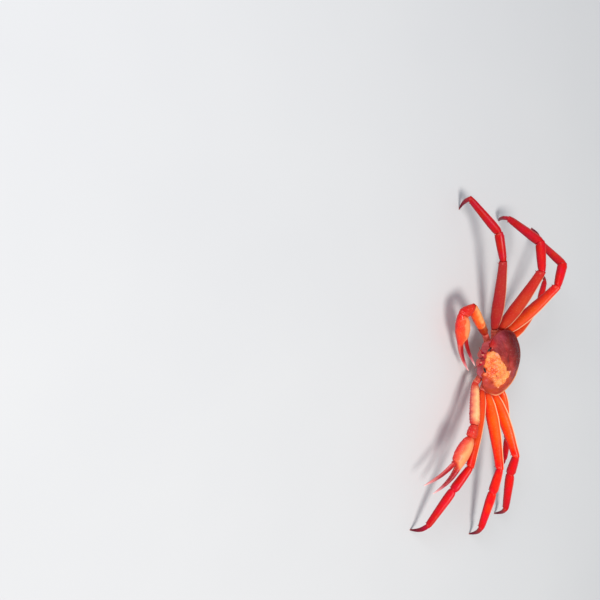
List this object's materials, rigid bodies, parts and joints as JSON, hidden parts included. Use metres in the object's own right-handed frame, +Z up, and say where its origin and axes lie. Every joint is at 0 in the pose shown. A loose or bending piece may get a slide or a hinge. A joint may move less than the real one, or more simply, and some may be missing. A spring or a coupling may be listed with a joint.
{
  "type": "red snow crab",
  "caption": "Still, life-size model of a whole red snow crab, standing, with a domed toothed shell, slender claws and long jointed legs.",
  "frame": {"origin": "on the floor, below the middle of the whole crab's bounding box", "axes": "-Y is the way the crab faces, +X is the crab's left, +Z is up, and the floor is z = 0"},
  "size_m": [0.5573, 0.2616, 0.1124],
  "materials": {
    "shell": "salmon shell with a damp satin skin and paler grains",
    "underside": "pale peach, satin",
    "mouth": "rose brown, satin",
    "eye": "black, wet gloss",
    "feeler": "red brown, satin",
    "leg_root": "rose red, satin",
    "leg_upper": "orange red, smooth damp satin",
    "leg_lower": "clear red, smooth damp satin",
    "leg_tip": "dark crimson, paler at the point, satin",
    "claw": "salmon to peach with rows of grains, satin",
    "claw_finger": "dark red fading to a pale tip, satin"
  },
  "bodies": {
    "root": {"carapace": "shell", "sternum": "underside", "abdomen": "underside", "maxilliped_L": "mouth", "maxilliped_R": "mouth", "eye_L": "eye", "eye_R": "eye", "antenna_L": "feeler", "antenna_R": "feeler", "cheliped_L_ischium": "leg_root", "cheliped_L_merus": "claw", "cheliped_L_carpus": "claw", "cheliped_L_palm": "claw", "cheliped_L_finger": "claw_finger", "cheliped_R_ischium": "leg_root", "cheliped_R_merus": "claw", "cheliped_R_carpus": "claw", "cheliped_R_palm": "claw", "cheliped_R_finger": "claw_finger", "leg_L1_coxa": "leg_root", "leg_L1_merus": "leg_upper", "leg_L1_carpus": "leg_lower", "leg_L1_propodus": "leg_lower", "leg_L1_dactylus": "leg_tip", "leg_L2_coxa": "leg_root", "leg_L2_merus": "leg_upper", "leg_L2_carpus": "leg_lower", "leg_L2_propodus": "leg_lower", "leg_L2_dactylus": "leg_tip", "leg_L3_coxa": "leg_root", "leg_L3_merus": "leg_upper", "leg_L3_carpus": "leg_lower", "leg_L3_propodus": "leg_lower", "leg_L3_dactylus": "leg_tip", "leg_L4_coxa": "leg_root", "leg_L4_merus": "leg_upper", "leg_L4_carpus": "leg_lower", "leg_L4_propodus": "leg_lower", "leg_L4_dactylus": "leg_tip", "leg_R1_coxa": "leg_root", "leg_R1_merus": "leg_upper", "leg_R1_carpus": "leg_lower", "leg_R1_propodus": "leg_lower", "leg_R1_dactylus": "leg_tip", "leg_R2_coxa": "leg_root", "leg_R2_merus": "leg_upper", "leg_R2_carpus": "leg_lower", "leg_R2_propodus": "leg_lower", "leg_R2_dactylus": "leg_tip", "leg_R3_coxa": "leg_root", "leg_R3_merus": "leg_upper", "leg_R3_carpus": "leg_lower", "leg_R3_propodus": "leg_lower", "leg_R3_dactylus": "leg_tip", "leg_R4_coxa": "leg_root", "leg_R4_merus": "leg_upper", "leg_R4_carpus": "leg_lower", "leg_R4_propodus": "leg_lower", "leg_R4_dactylus": "leg_tip"}
  },
  "joints": []
}
